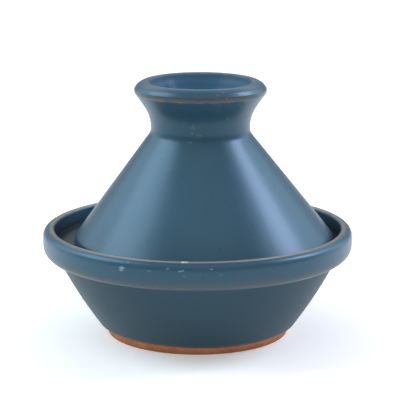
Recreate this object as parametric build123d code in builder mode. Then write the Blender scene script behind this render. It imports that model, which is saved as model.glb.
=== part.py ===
from build123d import *
import os
from math import atan, hypot, tan

# Small glazed tagine: a dish with a rolled rim and a seat inside it, and a conical lid whose
# neck opens into a cup-shaped knob. Millimetres, +Z up, with the origin at the middle of the
# face that the dish stands on. Outlines are drawn as radius against height and revolved.

# Dish: foot, bowl and floor
foot_radius = 46.7
foot_height = 3.4
foot_flare = 0.4
foot_ring_width = 9.0
foot_recess = 1.5
foot_edge_round = 0.6
bowl_start_radius = 51.0
bowl_start_height = 5.6
bowl_start_round = 3.0
bowl_bulge = 0.7
floor_thickness = 5.5
floor_round = 8.0
wall = 5.8

# Dish: rim band and the seat that the lid stands on
rim_radius = 80.0
rim_height = 55.7
rim_band_height = 14.8
rim_overhang = 7.4
rim_thickness = 5.9
rim_draft = 0.6
rim_roll = 6.2
rim_top_round = 4.0
rim_inner_round = 1.3
under_rim_round = 1.5
seat_depth = 8.4
seat_flange = 5.0
seat_round = 1.3

# Lid: clearances in the dish, lip and cone
lid_play = 6.4
seat_cover = 1.0
seat_gap = 0.3
lid_wall = 5.5
lip_side_height = 3.0
lip_height = 6.5
lip_shoulder_setback = 1.9
lip_edge_round = 0.9
cone_top_radius = 27.5
cone_top_height = 55.1

# Lid: neck, knob and the cup in its top
neck_radius = 25.4
neck_height = 61.2
knob_under_radius = 31.2
knob_under_height = 74.8
knob_radius = 33.7
knob_widest_height = 79.1
knob_shoulder_radius = 31.6
knob_shoulder_height = 82.6
crest_radius = 27.8
crest_width = 1.0
lid_height = 84.4
cup_depth = 14.0
cup_floor_radius = 16.0
cup_round = 6.0
cup_web = 6.5
neck_cavity_round = 7.0

# Lid: where it lies, pushed to one side of the seat, and its cone leaning back over
lid_shift = 3.3
cone_lean_shift = 1.9

# Heights and radii that follow from the sizes above
band_bottom = rim_height - rim_band_height
bowl_end_radius = rim_radius - rim_overhang
bowl_slope = (bowl_end_radius - bowl_start_radius) / (band_bottom - bowl_start_height)
bowl_wall_across = wall * hypot(1, bowl_slope)
floor_height = foot_recess + floor_thickness
rim_inner_radius = rim_radius - rim_thickness
seat_outer_radius = rim_inner_radius - rim_draft
seat_height = rim_height - seat_depth
lip_radius = seat_outer_radius - lid_play
seat_inner_radius = lip_radius - lid_play - seat_cover
cone_slope = (lip_radius - cone_top_radius) / (cone_top_height - lip_side_height)
lid_wall_across = lid_wall * hypot(1, cone_slope)
lip_shoulder_round = lip_shoulder_setback / tan(atan(cone_slope) / 2)
cone_foot_radius = lip_radius - cone_slope * (lip_height - lip_side_height)
cone_foot_inner_radius = cone_foot_radius - lid_wall_across
lip_inner_radius = cone_foot_inner_radius + cone_slope * lip_side_height
cone_top_inner_radius = cone_top_radius - lid_wall_across
neck_cavity_height = lid_height - cup_depth - cup_web
lid_base = seat_height + seat_gap
knob_shift = lid_shift - cone_lean_shift

# The lip and the knob turn about upright axes of their own, because the cone leans
lip_plane = Plane(origin=(lid_shift, 0, lid_base), x_dir=(1, 0, 0), z_dir=(0, -1, 0))
knob_plane = Plane(origin=(knob_shift, 0, lid_base), x_dir=(1, 0, 0), z_dir=(0, -1, 0))
lip_axis = Axis((lid_shift, 0, 0), (0, 0, 1))
knob_axis = Axis((knob_shift, 0, 0), (0, 0, 1))
cone_foot_plane = Plane(origin=(lid_shift, 0, lid_base + lip_height))
cone_top_plane = Plane(origin=(knob_shift, 0, lid_base + cone_top_height))

os.makedirs("parts", exist_ok=True)

# Dish: one thrown wall that runs from the foot ring up the bowl, round the rim band and
# down to the seat, whose flange stands inward over the inside of the bowl
with BuildPart() as base_dish:
    with BuildSketch(Plane.XZ):
        with BuildLine():
            Polyline(
                (0, foot_recess),
                (foot_radius - foot_ring_width - foot_recess, foot_recess),
                (foot_radius - foot_ring_width, 0),
                (foot_radius, 0),
                (foot_radius + foot_flare, foot_height),
                (bowl_start_radius, bowl_start_height),
            )
            SagittaArc(
                (bowl_start_radius, bowl_start_height),
                (bowl_end_radius, band_bottom),
                -bowl_bulge,
            )
            Polyline(
                (bowl_end_radius, band_bottom),
                (rim_radius, band_bottom),
                (rim_radius, rim_height),
                (rim_inner_radius, rim_height),
                (seat_outer_radius, seat_height),
                (seat_inner_radius, seat_height),
                (seat_inner_radius, seat_height - seat_flange),
                (bowl_end_radius - bowl_wall_across, band_bottom),
            )
            SagittaArc(
                (bowl_end_radius - bowl_wall_across, band_bottom),
                (bowl_start_radius - bowl_wall_across, floor_height),
                bowl_bulge,
            )
            Polyline(
                (bowl_start_radius - bowl_wall_across, floor_height),
                (0, floor_height),
                (0, foot_recess),
            )
        make_face()
        dish_corners = (
            ((foot_radius - foot_ring_width, 0), foot_edge_round),
            ((foot_radius, 0), foot_edge_round),
            ((bowl_start_radius, bowl_start_height), bowl_start_round),
            ((bowl_end_radius, band_bottom), under_rim_round),
            ((rim_radius, band_bottom), rim_roll),
            ((rim_radius, rim_height), rim_top_round),
            ((rim_inner_radius, rim_height), rim_inner_round),
            ((seat_outer_radius, seat_height), seat_round),
            ((seat_inner_radius, seat_height), seat_round),
            ((seat_inner_radius, seat_height - seat_flange), seat_round),
            ((bowl_start_radius - bowl_wall_across, floor_height), floor_round),
        )
        for corner, radius in dish_corners:
            fillet(vertices().sort_by_distance(corner)[0], radius)
    revolve(axis=Axis.Z)
base_dish.part.label = "base_dish"
export_step(base_dish.part, "parts/base_dish.step")

# Lid: a thrown cone on an upright lip, drawn in to a neck and opened out into a knob.
# It is hollow up to the neck, and a web of clay parts that hollow from the cup above.
with BuildPart() as conical_lid:
    with BuildSketch(lip_plane):
        Polygon(
            (lip_inner_radius, 0),
            (lip_radius, 0),
            (lip_radius, lip_side_height),
            (cone_foot_radius, lip_height),
            (cone_foot_inner_radius, lip_height),
            align=None,
        )
        lip_corners = (
            ((lip_inner_radius, 0), lip_edge_round),
            ((lip_radius, 0), lip_edge_round),
            ((lip_radius, lip_side_height), lip_shoulder_round),
        )
        for corner, radius in lip_corners:
            fillet(vertices().sort_by_distance(corner)[0], radius)
    revolve(axis=lip_axis)

    with BuildSketch(cone_foot_plane):
        Circle(cone_foot_radius)
    with BuildSketch(cone_top_plane):
        Circle(cone_top_radius)
    loft()
    with BuildSketch(cone_foot_plane):
        Circle(cone_foot_inner_radius)
    with BuildSketch(cone_top_plane):
        Circle(cone_top_inner_radius)
    loft(mode=Mode.SUBTRACT)

    with BuildSketch(knob_plane):
        with BuildLine():
            Line((0, cone_top_height), (cone_top_radius, cone_top_height))
            TangentArc((neck_radius, neck_height), (cone_top_radius, cone_top_height), tangent=(0, -1))
            TangentArc((neck_radius, neck_height), (knob_under_radius, knob_under_height), tangent=(0, 1))
            ThreePointArc(
                (knob_under_radius, knob_under_height),
                (knob_radius, knob_widest_height),
                (knob_shoulder_radius, knob_shoulder_height),
            )
            Polyline(
                (knob_shoulder_radius, knob_shoulder_height),
                (crest_radius, lid_height),
                (crest_radius - crest_width, lid_height),
                (cup_floor_radius, lid_height - cup_depth),
                (0, lid_height - cup_depth),
                (0, cone_top_height),
            )
        make_face()
        fillet(vertices().sort_by_distance((cup_floor_radius, lid_height - cup_depth))[0], cup_round)
    revolve(axis=knob_axis)
    with BuildSketch(knob_plane):
        Polygon(
            (0, cone_top_height),
            (cone_top_inner_radius, cone_top_height),
            (cone_top_inner_radius, neck_cavity_height),
            (0, neck_cavity_height),
            align=None,
        )
        cavity_corner = (cone_top_inner_radius, neck_cavity_height)
        fillet(vertices().sort_by_distance(cavity_corner)[0], neck_cavity_round)
    revolve(axis=knob_axis, mode=Mode.SUBTRACT)
conical_lid.part.label = "conical_lid"
export_step(conical_lid.part, "parts/conical_lid.step")
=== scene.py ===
import math

import bpy
import numpy as np
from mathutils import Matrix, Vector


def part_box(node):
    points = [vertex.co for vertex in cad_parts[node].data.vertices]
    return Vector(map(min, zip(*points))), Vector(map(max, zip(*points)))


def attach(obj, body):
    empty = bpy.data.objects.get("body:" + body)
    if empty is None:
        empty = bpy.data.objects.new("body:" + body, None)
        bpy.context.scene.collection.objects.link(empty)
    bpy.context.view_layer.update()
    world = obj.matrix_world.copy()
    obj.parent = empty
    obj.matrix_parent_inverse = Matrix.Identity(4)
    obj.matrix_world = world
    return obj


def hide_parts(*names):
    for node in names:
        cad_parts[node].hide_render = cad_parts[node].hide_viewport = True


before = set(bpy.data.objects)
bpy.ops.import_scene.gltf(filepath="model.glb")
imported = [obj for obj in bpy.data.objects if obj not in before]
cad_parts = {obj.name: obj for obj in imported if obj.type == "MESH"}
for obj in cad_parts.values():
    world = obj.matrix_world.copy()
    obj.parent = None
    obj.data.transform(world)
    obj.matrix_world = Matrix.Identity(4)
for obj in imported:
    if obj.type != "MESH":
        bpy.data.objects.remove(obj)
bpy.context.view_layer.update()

# ---------------------------------------------------------------------------------------------
# The bare clay foot. The potter trims a ring under the dish for it to stand on, and wipes the
# glaze off it, so the red earthenware shows from the table up to the edge of the glaze.
# ---------------------------------------------------------------------------------------------
MM = 0.001
STEPS_ROUND = 256


def outline(corners, run_step, arc_steps=8):
    """Radius and height in metres along a line through corners of (radius, height, rounding) in mm.
    Between its two ends each corner becomes the arc that touches both of its runs: the points turn
    evenly about the centre, which lies on the corner's bisector at rounding / sin(half its angle).
    The straight runs are divided evenly into steps of about run_step."""
    given = np.array(corners, float) * MM
    pieces = [given[:1, :2]]
    for before, corner, after in zip(given[:-2], given[1:-1], given[2:]):
        to_before = (before - corner)[:2] / np.linalg.norm((before - corner)[:2])
        to_after = (after - corner)[:2] / np.linalg.norm((after - corner)[:2])
        half = math.acos(float(np.clip(to_before @ to_after, -1, 1))) / 2
        bisector = (to_before + to_after) / np.linalg.norm(to_before + to_after)
        centre = corner[:2] + bisector * corner[2] / math.sin(half)
        first = corner[:2] + to_before * corner[2] / math.tan(half) - centre
        last = corner[:2] + to_after * corner[2] / math.tan(half) - centre
        turn = math.pi - 2 * half
        share = np.linspace(0, 1, arc_steps)[:, None]
        arm = np.sin((1 - share) * turn) * first + np.sin(share * turn) * last
        pieces.append(centre + arm / math.sin(turn))
    pieces.append(given[-1:, :2])
    line = np.concatenate(pieces)
    lengths = np.linalg.norm(np.diff(line, axis=0), axis=1)
    counts = np.maximum(1, np.round(lengths / run_step).astype(int))
    walked = np.concatenate([[0.0], np.cumsum(lengths)])
    runs = zip(walked, walked[1:], counts)
    stops = np.concatenate([np.linspace(start, end, count, endpoint=False) for start, end, count in runs])
    stops = np.append(stops, walked[-1])
    return np.stack([np.interp(stops, walked, line[:, 0]), np.interp(stops, walked, line[:, 1])], axis=1)


def hand_wobble(angle, height, seed, amount):
    """The slow swell of a thrown wall: a sum of cosines of the angle. Each has its own count of lobes
    round the pot and its own phase, and the phase drifts by so many radians for a metre of height."""
    draw = np.random.default_rng(seed)
    swell = np.zeros(np.broadcast(angle, height).shape)
    for lobes, share in ((2, 0.5), (3, 0.3), (5, 0.15), (8, 0.05)):
        phase, drift = draw.uniform(0, 2 * math.pi), draw.uniform(-30, 30)
        swell = swell + share * np.cos(lobes * angle + phase + drift * height)
    return amount * swell


def turned(name, line, wobble, sway=None, lift=None):
    """A closed turned mesh. The point on ring i at angle a is (centre(height) + r cos a, r sin a,
    height), where r and height come from the line. r also has the hand wobble, of a seed and an
    amount, which dies away towards the axis. sway gives the centre's x at a height, and
    lift(angle, ring) adds to the height. Both ends of the line lie on the axis, and each closes in a
    single pole vertex. Faces are wound so that they point outward."""
    pole_reach = 20 * MM
    rings = line[1:-1]
    angle = np.linspace(0, 2 * math.pi, STEPS_ROUND, endpoint=False)[None, :]
    height = rings[:, 1:2] + np.zeros_like(angle)
    if lift is not None:
        height = height + lift(angle, rings)
    fade = np.clip(rings[:, :1] / pole_reach, 0, 1)
    radius = rings[:, :1] + fade * hand_wobble(angle, height, *wobble)
    centre = sway(height) if sway is not None else 0.0
    grid = np.stack([centre + radius * np.cos(angle), radius * np.sin(angle), height], axis=-1)
    poles = [[float(sway(z)) if sway is not None else 0.0, 0.0, z] for z in (line[0, 1], line[-1, 1])]
    points = np.concatenate([grid.reshape(-1, 3), np.array(poles, float)])
    ring, step = np.meshgrid(np.arange(len(rings) - 1), np.arange(STEPS_ROUND), indexing="ij")
    here, beside = ring * STEPS_ROUND + step, ring * STEPS_ROUND + (step + 1) % STEPS_ROUND
    quads = np.stack([here, beside, beside + STEPS_ROUND, here + STEPS_ROUND], axis=-1).reshape(-1, 4)
    around = np.arange(STEPS_ROUND)
    following = (around + 1) % STEPS_ROUND
    last_ring = (len(rings) - 1) * STEPS_ROUND
    first_pole, last_pole = len(points) - 2, len(points) - 1
    fans = np.concatenate([
        np.stack([following, around, np.full(STEPS_ROUND, first_pole)], axis=-1),
        np.stack([last_ring + around, last_ring + following, np.full(STEPS_ROUND, last_pole)], axis=-1),
    ])
    mesh = bpy.data.meshes.new(name)
    mesh.from_pydata(points.tolist(), [], quads.tolist() + fans.tolist())
    mesh.shade_smooth()
    piece = bpy.data.objects.new(name, mesh)
    bpy.context.scene.collection.objects.link(piece)
    return piece


def near(line, places, reach):
    """How near each point of a line lies to any of some places in mm: exp(-(distance / reach)^2),
    the largest over the places."""
    gaps = np.linalg.norm(line[:, None, :] - np.array(places, float)[None] * MM, axis=2)
    return np.exp(-((gaps / (reach * MM)) ** 2)).max(axis=1)


def paint(piece, line, **shares):
    """Stores one value per ring of the line on every vertex of that ring, poles included."""
    for label, share in shares.items():
        per_vertex = np.concatenate([np.repeat(share[1:-1], STEPS_ROUND), share[[0, -1]]])
        stored = piece.data.attributes.new(label, "FLOAT", "POINT")
        stored.data.foreach_set("value", per_vertex.astype(np.float32))


class Tint:
    """A socket of a material's node tree. Arithmetic on it adds a Math node for each operator."""

    def __init__(self, tree, socket=None):
        self.tree, self.socket = tree, socket

    def node(self, kind, settings=None, sockets=None, output=0):
        """Adds a node, sets its settings first and then its sockets, from values or from other
        tints, and gives the tint of one of its outputs."""
        made = self.tree.nodes.new("ShaderNode" + kind)
        for name, value in (settings or {}).items():
            setattr(made, name, value)
        for name, value in (sockets or {}).items():
            if isinstance(value, Tint):
                self.tree.links.new(value.socket, made.inputs[name])
            else:
                made.inputs[name].default_value = value
        return Tint(self.tree, made.outputs[output])

    def also(self, output):
        """Another output of the same node."""
        return Tint(self.tree, self.socket.node.outputs[output])

    def feed(self, shader, name):
        """Links this tint to a socket of the shader."""
        self.tree.links.new(self.socket, shader.inputs[name])

    def maths(self, operation, first, second):
        """A Math node's result for two values, either of which may be a plain number."""
        return self.node("Math", {"operation": operation}, {0: first, 1: second})

    def __add__(self, other):
        return self.maths("ADD", self, other)

    def __radd__(self, other):
        return self.maths("ADD", other, self)

    def __sub__(self, other):
        return self.maths("SUBTRACT", self, other)

    def __rsub__(self, other):
        return self.maths("SUBTRACT", other, self)

    def __mul__(self, other):
        return self.maths("MULTIPLY", self, other)

    def __rmul__(self, other):
        return self.maths("MULTIPLY", other, self)

    def between(self, low, high):
        """0 below low, 1 above high, and a smooth S between them. low above high turns it round."""
        if low > high:
            return 1.0 - self.between(high, low)
        ends = {"Value": self, "From Min": low, "From Max": high}
        return self.node("MapRange", {"interpolation_type": "SMOOTHSTEP"}, ends)

    def cloud(self, place, scale, detail, roughness):
        """Soft noise about 0.5, with lumps 1 / scale metres across."""
        looks = {"Vector": place, "Scale": scale, "Detail": detail, "Roughness": roughness}
        return self.node("TexNoise", {}, looks)

    def over(self, share, under, colour):
        """The colour laid over the one under it, by a share from 0 to 1. A colour is a tint, or red,
        green and blue. A Mix node's sockets share their names, so they are told apart by number."""
        under, colour = (shade if isinstance(shade, Tint) else (*shade, 1) for shade in (under, colour))
        kept = {"data_type": "RGBA", "clamp_factor": True}
        return self.node("Mix", kept, {0: share, 6: under, 7: colour}, 2)

    def ring_share(self, label):
        """The share of that name that was painted on the piece's rings."""
        return self.node("Attribute", {"attribute_name": label}, {}, "Fac")


def finish(name, **even):
    """A new material with one Principled shader whose named sockets are the same all over. Gives
    the material, its shader and a tint to build on."""
    material = bpy.data.materials.new(name)
    material.use_nodes = True
    shader = material.node_tree.nodes["Principled BSDF"]
    for socket, value in even.items():
        shader.inputs[socket.replace("_", " ")].default_value = value
    return material, shader, Tint(material.node_tree)


def fired_clay():
    """Red earthenware: warm orange brown with light and dark sandy grains, browner along the bottom where
    the foot rubs on tables and darker there as painted shade, darker just under the glaze, matt, and
    rough to the touch."""
    material, shader, tint = finish("fired_clay", Specular_IOR_Level=0.25)
    place = tint.node("TexCoord", output="Object")
    mottle = tint.cloud(place, 90.0, 3.0, 0.6)
    grain = tint.cloud(place, 900.0, 2.0, 0.7)
    colour = tint.over(mottle.between(0.35, 0.7), (0.50, 0.185, 0.080), (0.64, 0.26, 0.125))
    colour = tint.over(grain.between(0.60, 0.75) * 0.6, colour, (0.72, 0.42, 0.26))
    colour = tint.over(grain.between(0.42, 0.32) * 0.7, colour, (0.22, 0.075, 0.038))
    # Browner along the bottom: rubbing on tables, and painted shade on the foot's lower edge
    colour = tint.over(tint.ring_share("rubbed") * 0.75, colour, (0.24, 0.105, 0.070))
    colour = tint.over(tint.ring_share("scorched") * 0.55, colour, (0.16, 0.065, 0.035))
    colour.feed(shader, "Base Color")
    (0.75 + 0.2 * mottle).feed(shader, "Roughness")
    bumps = {"Strength": 0.5, "Distance": 0.2 * MM, "Height": grain + mottle}
    tint.node("Bump", {}, bumps).feed(shader, "Normal")
    return material


# Radii and heights in mm
ring_inside, ring_outside = 37.7, 46.7
recess_height, clay_top = 1.5, 6.0

foot_line = outline((
    (0, recess_height, 0), (ring_inside - recess_height, recess_height, 0.6),
    (ring_inside, 0, 0.6), (ring_outside, 0, 0.6), (47.1, 3.4, 1.5), (48.5, 4.6, 2), (50.2, 5.6, 0.5),
    (49.2, 6.2, 0.4), (46.0, clay_top, 0.5), (0, clay_top, 0),
), run_step=2.0 * MM)
clay_foot = turned("clay_foot", foot_line, wobble=(11, 0.12 * MM))
paint(
    clay_foot, foot_line,
    # Along the bottom of the foot: rubbing, and painted shade on its lower edge
    rubbed=near(foot_line, ((ring_outside, 0), (42, 0), (ring_inside, 0)), 1.1),
    scorched=near(foot_line, ((48.2, 4.3),), 1.0),
)
clay_foot.data.materials.append(fired_clay())
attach(clay_foot, "dish")

# ---------------------------------------------------------------------------------------------
# The glazed dish: a bowl thrown in red clay, its rim folded out into a thick round band with a
# seat for the lid inside it. It is dipped in a cloudy blue glaze, which breaks to tan on edges;
# painted shade, highlights and reflections are laid into its colour as well.
# ---------------------------------------------------------------------------------------------
# Patches of pale crumbs in the glaze, on the front of the neck and of the knob: the centre and the
# reach in mm, and the colour
CRUMB_PATCHES = (
    ((-2, -26, 108), 6.5, (0.17, 0.20, 0.20)),
    ((12, -31, 126.5), 8.0, (0.20, 0.16, 0.12)),
)
# Spots where bubbles in the glaze healed over, on the front of the rim and the bowl, given in the
# same way; the warm white ones on the rim top are painted highlights, and the pale blue ones on the band
# partly painted glints.
# The squash multiplies distances along X, Y and Z before they are held against the reach, so that a spot
# is wider than it is tall.
SPOT_SQUASH = (0.6, 0.6, 1.3)
HEALED_SPOTS = (
    ((-36.5, -71.1, 51.6), 1.3, (0.32, 0.44, 0.48)),
    ((-36.9, -70.9, 50.4), 1.0, (0.26, 0.38, 0.42)),
    ((-23.4, -76.5, 51.5), 0.9, (0.12, 0.19, 0.22)),
    ((-14.3, -78.3, 53.0), 0.7, (0.40, 0.28, 0.18)),
    # Painted highlights: warm white glints on the rim top
    ((-7.0, -75.9, 55.7), 0.9, (1.00, 0.88, 0.62)),
    ((-5.4, -76.0, 55.7), 0.8, (1.00, 0.88, 0.62)),
    # Pale blue spots on the band: partly painted glints
    ((-8.4, -79.2, 52.0), 0.8, (0.30, 0.42, 0.46)),
    ((-7.0, -79.3, 52.3), 0.7, (0.34, 0.44, 0.46)),
    ((-6.4, -79.8, 49.6), 0.8, (0.08, 0.17, 0.21)),
    ((6.7, -79.3, 53.0), 0.7, (0.24, 0.34, 0.35)),
    ((11.3, -79.2, 50.2), 0.9, (0.08, 0.16, 0.20)),
    ((4.6, -68.0, 34.5), 0.7, (0.12, 0.21, 0.25)),
    ((24.2, -60.0, 28.0), 0.6, (0.10, 0.18, 0.21)),
    ((0.5, -62.8, 24.3), 0.8, (0.10, 0.045, 0.035)),
)


def within(tint, place, centre, reach, core):
    """1 near a centre in mm, falling to 0 at the reach in mm. core is the share of the reach at which
    it starts to fall."""
    ends = {0: place, 1: [side * MM for side in centre]}
    apart = tint.node("VectorMath", {"operation": "DISTANCE"}, ends, "Value")
    return apart.between(reach * MM, core * reach * MM)


def dots(tint, place, scale, edge, channel, rarity, favour=0.0):
    """Round dots, at most one to each cell of 1 / scale metres. edge gives where a dot starts and
    where it is whole, in cells. A cell has its dot where the channel of its random colour, with the
    favour added, passes the rarity."""
    cells = tint.node("TexVoronoi", {}, {"Vector": place, "Scale": scale, "Randomness": 1.0})
    chance = tint.node("SeparateColor", {}, {"Color": cells.also("Color")}, channel)
    return cells.between(*edge) * (chance + favour).between(*rarity)


def blue_glaze():
    """Blue glaze, dark and cloudy. It follows these shares painted on the rings: painted shade on the
    bowl, glaze pooling in hollows and painted shade in recesses, thick and blue in the cup, thinner and
    grey brown under edges with a painted reflection under the rim band, grey where seats were cleaned of
    glaze and darkened there as painted shade, tan where the glaze breaks over edges with painted
    highlights more on the near side, burnt orange on the sharpest, and satin where it shines less. Over
    them lie dark pinholes, iron specks, pale blisters that stand partly for painted glints, crumbs, and
    healed spots with painted highlights among them."""
    material, shader, tint = finish(
        "cloudy_blue_glaze",
        IOR=1.52, Specular_Tint=(0.55, 0.85, 1.0, 1), Coat_Weight=0.06, Coat_Roughness=0.16,
    )
    place = tint.node("TexCoord", output="Object")
    clouds = tint.cloud(place, 26.0, 4.0, 0.55)
    drift = tint.cloud(place, 9.0, 1.0, 0.5)
    speckle = tint.cloud(place, 520.0, 2.0, 0.6)
    fleck = tint.cloud(place, 160.0, 1.0, 0.5)

    colour = tint.over(clouds.between(0.3, 0.7), (0.026, 0.070, 0.104), (0.031, 0.080, 0.120))
    colour = tint.over(drift.between(0.35, 0.65) * 0.5, colour, (0.031, 0.076, 0.104))
    # Darker where the glaze pools in hollows, and painted shade in the recesses: the seat corner, under
    # the band, the neck and under the knob
    colour = tint.over(tint.ring_share("pooled") * 0.6, colour, (0.014, 0.052, 0.084))
    # Painted shade: the glaze on the bowl below the band is darkened
    deep = tint.ring_share("deep")
    colour = tint.over(deep * 0.9, colour, (0.010, 0.034, 0.050))
    colour = tint.over(speckle.between(0.62, 0.78) * 0.35, colour, (0.05, 0.10, 0.13))
    colour = tint.over(speckle.between(0.36, 0.27) * 0.5, colour, (0.010, 0.030, 0.050))

    # Dark grey on the seats: wiped of glaze, and darkened as painted shade under the lid
    wiped = (tint.ring_share("wiped") * (0.6 + clouds)).between(0.3, 0.9)
    colour = tint.over(wiped * 0.85, colour, (0.026, 0.028, 0.034))
    # Grey brown where the glaze runs thin under edges; under the rim band it is also a painted reflection
    # of the floor
    thin = (tint.ring_share("thin") * (0.5 + fleck)).between(0.2, 0.9)
    colour = tint.over(thin * 0.9, colour, (0.060, 0.064, 0.058))
    colour = tint.over(tint.ring_share("thick") * 0.8, colour, (0.026, 0.100, 0.175))

    # Tan where the glaze breaks over edges, with a painted highlight and reflection on some of them;
    # front lays on more painted highlight towards the front
    front = tint.node("SeparateXYZ", {}, {"Vector": place}, "Y").between(-45 * MM, -75 * MM)
    edges = tint.ring_share("breaking")
    breaking = (edges * (0.35 + fleck * 1.2 + front * 1.3)).between(0.25, 0.85)
    colour = tint.over(breaking * 0.85, colour, (0.26, 0.215, 0.165))
    ridges = tint.ring_share("burnt")
    orange = (ridges * (0.2 + fleck * 1.5)).between(0.35, 0.85)
    colour = tint.over(orange * 0.9, colour, (0.25, 0.125, 0.065))

    pit = dots(tint, place, 75.0, (0.075, 0.035), "Red", (0.90, 0.92))
    colour = tint.over(pit, colour, (0.05, 0.035, 0.03))
    # Pale blisters, likelier on edges, stand partly for painted glints
    blister = dots(tint, place, 210.0, (0.16, 0.07), "Green", (0.982, 0.99), 0.1 * (edges + ridges))
    colour = tint.over(blister * 0.35, colour, (0.30, 0.38, 0.40))
    crumbs = tint.cloud(place, 420.0, 2.0, 0.75).between(0.53, 0.70)
    for centre, reach, shade in CRUMB_PATCHES:
        colour = tint.over(crumbs * within(tint, place, centre, reach, 0.2) * 0.7, colour, shade)
    squashed = tint.node("VectorMath", {"operation": "MULTIPLY"}, {0: place, 1: SPOT_SQUASH})
    # Healed spots, with painted highlights and glints among them
    for centre, reach, shade in HEALED_SPOTS:
        middle = [side * squash for side, squash in zip(centre, SPOT_SQUASH)]
        colour = tint.over(within(tint, squashed, middle, reach, 0.1) * 0.75, colour, shade)
    colour.feed(shader, "Base Color")

    rough = 0.31 + 0.10 * clouds + 0.10 * breaking + 0.2 * wiped
    rough = rough + 0.45 * tint.ring_share("satin") + 0.15 * deep
    rough.feed(shader, "Roughness")
    ripple = tint.cloud(place, 140.0, 2.0, 0.5)
    relief = ripple + speckle * 0.3 - pit * 2.0 + blister * 2.0
    bumps = {"Strength": 0.12, "Distance": 0.3 * MM, "Height": relief}
    tint.node("Bump", {}, bumps).feed(shader, "Normal")
    return material


# Radii and heights in mm. The rim's own come from the frame, and what is fixed to the rim follows.
dish_high = np.array(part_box("base_dish")[1]) / MM
rim_radius, rim_top = dish_high[0], dish_high[2]
band_bottom, seat_top = rim_top - 14.8, rim_top - 8.4
rim_inside, seat_outside, bowl_top = rim_radius - 5.9, rim_radius - 6.5, rim_radius - 7.4
seat_inside, flange_bottom = 59.7, 42.3
glaze_underside, floor_top, floor_radius = 5.0, 7.0, 44.2
bowl_foot, bowl_foot_height = 51.1, 5.6


def thrown_dish(angle, rings):
    """What the potter's hands leave, added to the height. The lower edge of the glaze wanders up and
    down by under a millimetre, and holds still further up the bowl. Inside, the fingers leave a
    shallow spiral: the cosine of a turn for each finger's width out from the middle, less the angle.
    It fades out at the middle and where the floor turns up into the wall, and spares the seat."""
    finger_width, finger_depth = 7.5 * MM, 0.14 * MM
    radius, height = rings[:, :1], rings[:, 1:2]
    near_edge = np.clip((6.6 * MM - height) / (2.0 * MM), 0, 1) * (radius > 45 * MM)
    edge = hand_wobble(angle, 0.0, 23, 0.45 * MM) + hand_wobble(5 * angle, 0.0, 29, 0.12 * MM)
    floor_end = 44 * MM + 0.6 * (height - floor_top * MM)
    inside = (height > 6.5 * MM) * np.clip((floor_end - radius) / (1.5 * MM), 0, 1)
    inside = inside * np.clip((38 * MM - height) / (4 * MM), 0, 1) * np.clip(radius / (6 * MM), 0, 1)
    spiral = finger_depth * np.cos(2 * math.pi * (radius + height) / finger_width - angle)
    return near_edge * edge + inside * spiral


dish_line = outline((
    (0, glaze_underside, 0), (46.4, glaze_underside, 0.3), (47.7, 4.3, 0.2), (48.35, 4.05, 0.25),
    (bowl_foot, bowl_foot_height, 3), (63.0, 22.5, 240), (bowl_top, band_bottom, 1.5),
    (rim_radius, band_bottom, 6.2), (rim_radius, rim_top, 4.0), (rim_inside, rim_top, 1.3),
    (seat_outside, seat_top, 1.3), (seat_inside, seat_top, 1.3), (seat_inside, flange_bottom, 1.3),
    (65.8, band_bottom, 2), (56.1, 22.5, 240), (floor_radius, floor_top, 8), (0, floor_top, 0),
), run_step=1.5 * MM)
glazed_dish = turned("glazed_dish", dish_line, wobble=(7, 0.18 * MM), lift=thrown_dish)
paint(
    glazed_dish, dish_line,
    # Glaze pooling and painted shade in the seat corner and under the band
    pooled=near(dish_line, ((73.4, 47.6), (72.2, 40.6)), 2.5),
    # Painted shade over the bowl below the band
    deep=near(dish_line, np.linspace((52.5, 7.0), (71.0, 38.0), 20), 5.0),
    # The dish's seat: wiped of glaze, and darkened as painted shade under the lid
    wiped=near(dish_line, ((72, seat_top), (66, seat_top), (61, seat_top)), 4.5),
    satin=near(dish_line, ((73.6, 48.2), (72.6, 47.4)), 1.8),
    # Tan on the rim's inner top edge and under the band: glaze breaking, and a painted highlight and
    # reflection
    breaking=np.maximum(
        0.85 * near(dish_line, ((75.0, rim_top), (75.9, rim_top)), 1.25),
        0.8 * near(dish_line, ((73.2, 41.0),), 0.85),
    ),
    # Under the rim band: thin glaze, and a painted reflection of the floor
    thin=0.65 * near(dish_line, ((79.3, 45.0), (78.4, 43.2), (76.4, 41.6)), 2.4),
    burnt=near(dish_line, ((48.2, 4.1),), 0.5),
)
glaze = blue_glaze()
glazed_dish.data.materials.append(glaze)
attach(glazed_dish, "dish")
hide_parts("base_dish")

# ---------------------------------------------------------------------------------------------
# The glazed lid: a thrown cone on an upright lip, drawn in to a neck and opened into a cupped
# knob, in the same glaze. It rests loose on the seat, a little to one side, and leans slightly.
# ---------------------------------------------------------------------------------------------
lid_low, lid_high = (np.array(corner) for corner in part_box("conical_lid"))
lid_centre = (lid_low[0] + lid_high[0]) / 2
cone_lean = 1.9 * MM

# Radii and heights in mm
lid_base, lip_radius = lid_low[2] / MM, 67.1
cone_foot, cone_top = 54.1, 102.7
cavity_top, cup_floor = 111.5, 118.0
neck_radius = 25.4


def lean(height):
    """The centre's x: at the lip's own centre up to the cone's foot, then drifting evenly to the
    knob's centre at the top of the cone."""
    climbed = (height - cone_foot * MM) / (cone_top * MM - cone_foot * MM)
    return lid_centre - cone_lean * np.clip(climbed, 0, 1)


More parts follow.
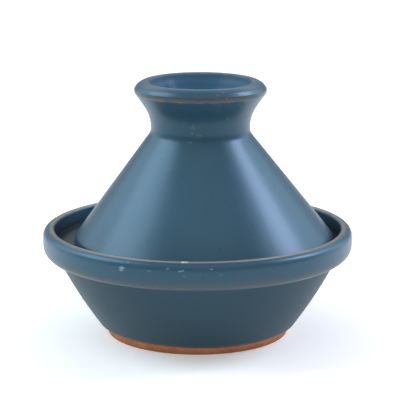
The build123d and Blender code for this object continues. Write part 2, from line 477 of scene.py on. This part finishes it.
lid_line = outline((
    (0, cavity_top, 0), (20.1, cavity_top, 7), (20.4, cone_top, 20), (57.5, cone_foot, 3),
    (59.8, lid_base, 0.9), (lip_radius, lid_base, 0.9), (lip_radius, 50.6, 5.3),
    (neck_radius, 105.3, 6), (neck_radius, 113.7, 20), (31.1, 122.2, 6),
    (33.65, 125.7, 0.9), (34.05, 127.6, 2.2), (32.3, 130.0, 3), (27.3, 132.9, 4.2),
    (15.6, cup_floor, 6), (0, cup_floor, 0),
), run_step=2.5 * MM)
glazed_lid = turned("glazed_lid", lid_line, sway=lean, wobble=(5, 0.15 * MM))
cup_wall = ((22, 126), (19, 122), (12, cup_floor), (6, cup_floor), (0, cup_floor))
paint(
    glazed_lid, lid_line,
    # Glaze pooling and painted shade at the neck, under the knob and in the cup
    pooled=near(lid_line, ((25.6, 108), (28.5, 118), (12, cup_floor)), 6.0),
    satin=near(lid_line, ((25, 130), *cup_wall), 3.0),
    # The underside of the lid's lip: wiped of glaze, and darkened as painted shade
    wiped=near(lid_line, ((63, lid_base), (66, lid_base), (60, lid_base)), 1.6),
    thick=near(lid_line, cup_wall, 4.0),
    thin=0.7 * near(lid_line, ((33.9, 126.8), (34.0, 128.4)), 1.6),
    breaking=0.55 * near(lid_line, ((27.0, 131.8),), 1.6),
    burnt=0.7 * near(lid_line, ((33.55, 125.7),), 0.6),
)
glazed_lid.data.materials.append(glaze)
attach(glazed_lid, "lid")
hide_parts("conical_lid")

# ---------------------------------------------------------------------------------------------
# The studio: a pale floor, soft light from the left, a smaller and bluer one from the right,
# a dim wall behind each of them, a fill from above, a light on the floor behind, and the camera.
# ---------------------------------------------------------------------------------------------
floor_reach = 6.0
floor_sides = ((-1, -1), (1, -1), (1, 1), (-1, 1))
floor_corners = [(floor_reach * across, floor_reach * back, 0) for across, back in floor_sides]
floor_mesh = bpy.data.meshes.new("floor")
floor_mesh.from_pydata(floor_corners, [], [(0, 1, 2, 3)])
floor = bpy.data.objects.new("floor", floor_mesh)
bpy.context.scene.collection.objects.link(floor)
floor_paper = finish(
    "floor_paper",
    Base_Color=(0.90, 0.87, 0.83, 1), Roughness=0.9, Specular_IOR_Level=0.0,
    Emission_Color=(1, 1, 1, 1), Emission_Strength=0.30,
)[0]
floor_mesh.materials.append(floor_paper)

sky = bpy.data.worlds.new("studio")
sky.use_nodes = True
sky.node_tree.nodes["Background"].inputs["Color"].default_value = (0.94, 1.0, 1.05, 1)
sky.node_tree.nodes["Background"].inputs["Strength"].default_value = 0.38
bpy.context.scene.world = sky


def softbox(name, place, aim, wide, tall, radiance, colour):
    """A rectangular lamp at a place, turned to face the aim. Its power is radiance * pi * area,
    so its brightness in a reflection stays the same at any size."""
    lamp = bpy.data.lights.new(name, "AREA")
    lamp.shape, lamp.size, lamp.size_y = "RECTANGLE", wide, tall
    lamp.energy, lamp.color = radiance * math.pi * wide * tall, colour
    box = bpy.data.objects.new(name, lamp)
    away = np.array(place, float) - np.array(aim, float)
    flat = math.hypot(away[0], away[1])
    box.location = place
    box.rotation_euler = (math.atan2(flat, away[2]), 0, math.atan2(away[1], away[0]) + math.pi / 2)
    bpy.context.scene.collection.objects.link(box)


pot_middle = (0, 0, 80 * MM)
floor_behind = (0, 1.9, 0)
softbox("left_softbox", (-0.94, 0.05, 0.98), pot_middle, 0.75, 0.75, 5.2, (0.84, 1.0, 1.18))
softbox("left_wall", (-1.15, 0.62, 0.50), pot_middle, 0.9, 0.8, 1.4, (0.72, 1.0, 1.20))
softbox("right_softbox", (0.98, 0.16, 0.92), pot_middle, 0.40, 0.50, 12.5, (0.90, 0.93, 1.24))
softbox("right_wall", (1.15, 0.62, 0.50), pot_middle, 0.9, 0.8, 1.6, (0.66, 1.0, 1.25))
softbox("top_fill", (0, -0.75, 1.25), pot_middle, 1.2, 1.0, 0.55, (1.0, 1.0, 1.0))
softbox("backdrop_light", (0, 2.8, 2.4), floor_behind, 4.0, 1.6, 1.6, (1, 1, 1))

camera = bpy.data.objects.new("camera", bpy.data.cameras.new("camera"))
camera_pitch = 0.221
camera.location = (1.2 * MM, -950 * MM, 282.6 * MM)
camera.rotation_euler = (math.pi / 2 - camera_pitch, 0, 0)
camera.data.sensor_width, camera.data.lens = 36.0, 169.38
camera.data.clip_start, camera.data.clip_end = 0.05, 20.0
bpy.context.scene.collection.objects.link(camera)
bpy.context.scene.camera = camera
bpy.context.scene.view_settings.view_transform = "Standard"
